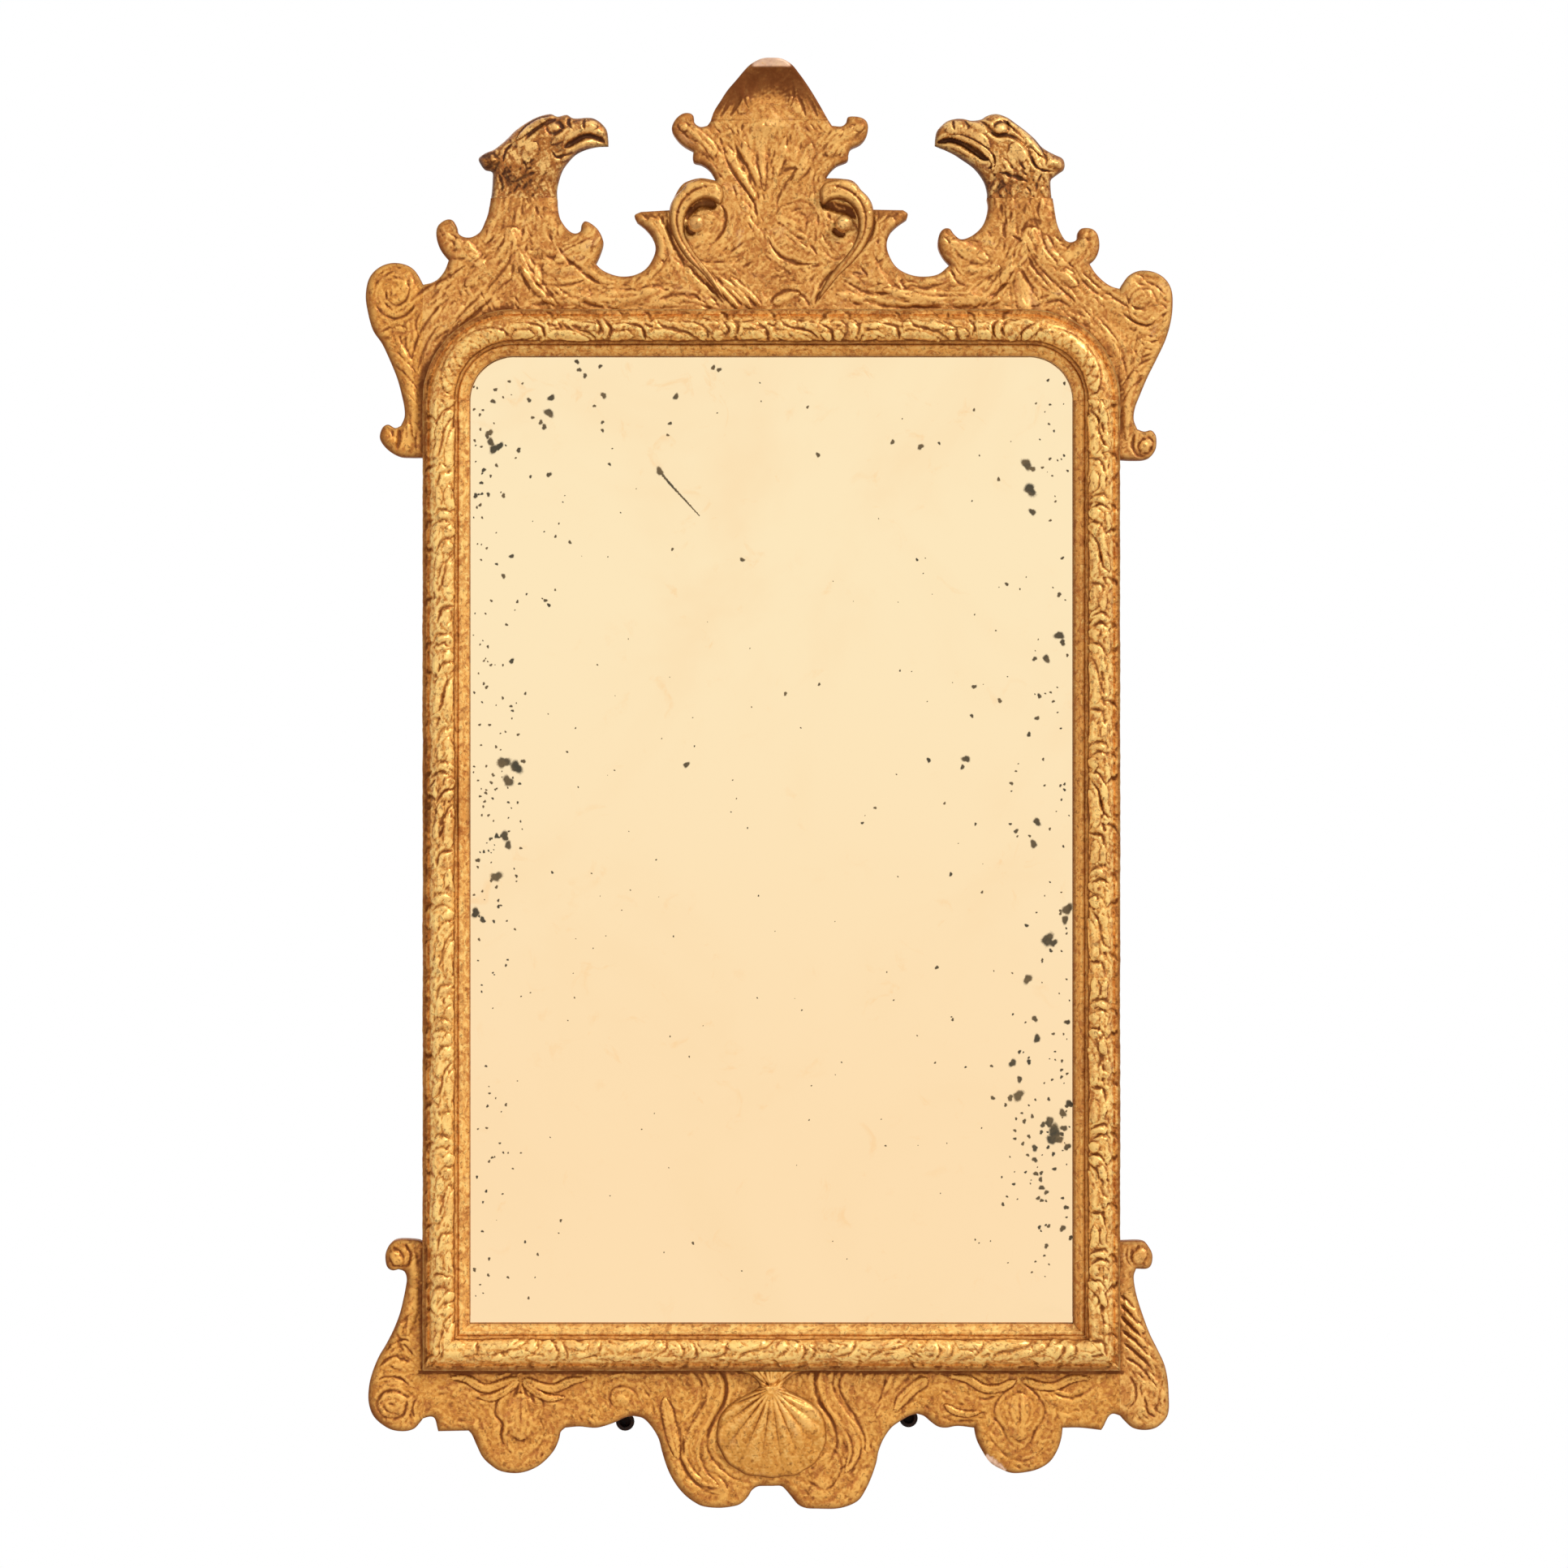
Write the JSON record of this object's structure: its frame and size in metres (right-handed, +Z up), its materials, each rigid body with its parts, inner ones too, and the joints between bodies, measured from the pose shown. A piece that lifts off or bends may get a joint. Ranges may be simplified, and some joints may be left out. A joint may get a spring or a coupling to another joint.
{
  "type": "girandole mirror",
  "caption": "Carved and gilded wall mirror with eagle-head crest, shell apron, bevelled plate and two iron sockets for candle arms.",
  "frame": {"origin": "in the wall plane, on the flat back of the middle crest batten, 40 mm above the moulded frame's top edge and on the mirror's centre line", "axes": "+Z up, +X to the viewer's right, the front faces -Y and the wall lies at Y = 0"},
  "size_m": [0.695, 0.0513, 1.2446],
  "materials": {
    "gilt_wood": "water gilding on gesso, worn",
    "bare_pine": "bare, aged",
    "silvered_glass": "silvered, foxed",
    "brass": "dull",
    "iron": "blackened"
  },
  "bodies": {
    "frame": {"acanthus_scroll_left": "gilt_wood", "acanthus_scroll_right": "gilt_wood", "apron_batten": "bare_pine", "apron_batten_screw_lower": "iron", "apron_batten_screw_upper": "iron", "apron_board": "gilt_wood", "backboard_lower": "bare_pine", "backboard_middle": "bare_pine", "backboard_upper": "bare_pine", "bottom_rail": "gilt_wood", "candle_socket_left": "iron", "candle_socket_right": "iron", "corner_block_left": "gilt_wood", "corner_block_right": "gilt_wood", "crest_batten": "bare_pine", "crest_batten_screw_lower": "iron", "crest_batten_screw_upper": "iron", "crest_board": "gilt_wood", "eagle_head_left": "gilt_wood", "eagle_head_right": "gilt_wood", "ear_lower_left": "gilt_wood", "ear_lower_right": "gilt_wood", "ear_upper_left": "gilt_wood", "ear_upper_right": "gilt_wood", "glazing_block_foot_left": "bare_pine", "glazing_block_foot_right": "bare_pine", "glazing_block_head_left": "bare_pine", "glazing_block_head_right": "bare_pine", "glazing_block_lower_left": "bare_pine", "glazing_block_lower_right": "bare_pine", "glazing_block_upper_left": "bare_pine", "glazing_block_upper_right": "bare_pine", "hanger_screw_1_left": "brass", "hanger_screw_1_right": "brass", "hanger_screw_2_left": "brass", "hanger_screw_2_right": "brass", "hanger_strap_left": "brass", "hanger_strap_right": "brass", "mirror_glass": "silvered_glass", "neck_batten_left": "bare_pine", "neck_batten_right": "bare_pine", "neck_batten_screw_lower_left": "iron", "neck_batten_screw_lower_right": "iron", "neck_batten_screw_upper_left": "iron", "neck_batten_screw_upper_right": "iron", "plume_hood": "gilt_wood", "scallop_shell": "gilt_wood", "scroll_bead_left": "gilt_wood", "scroll_bead_right": "gilt_wood", "socket_screw_1_left": "iron", "socket_screw_1_right": "iron", "socket_screw_2_left": "iron", "socket_screw_2_right": "iron", "stile_left": "gilt_wood", "stile_right": "gilt_wood", "top_rail": "gilt_wood"},
    "ring_left": {"hanging_ring_left": "brass"},
    "ring_right": {"hanging_ring_right": "brass"}
  },
  "joints": [
    {"name": "ring_left_hinge", "type": "hinge", "parent": "frame", "child": "ring_left", "pos_m": [-0.284, -0.0103, -0.23], "axis": [1, 0, 0], "range_deg": [0, 180]},
    {"name": "ring_right_hinge", "type": "hinge", "parent": "frame", "child": "ring_right", "pos_m": [0.284, -0.0103, -0.23], "axis": [1, 0, 0], "range_deg": [0, 180]}
  ]
}
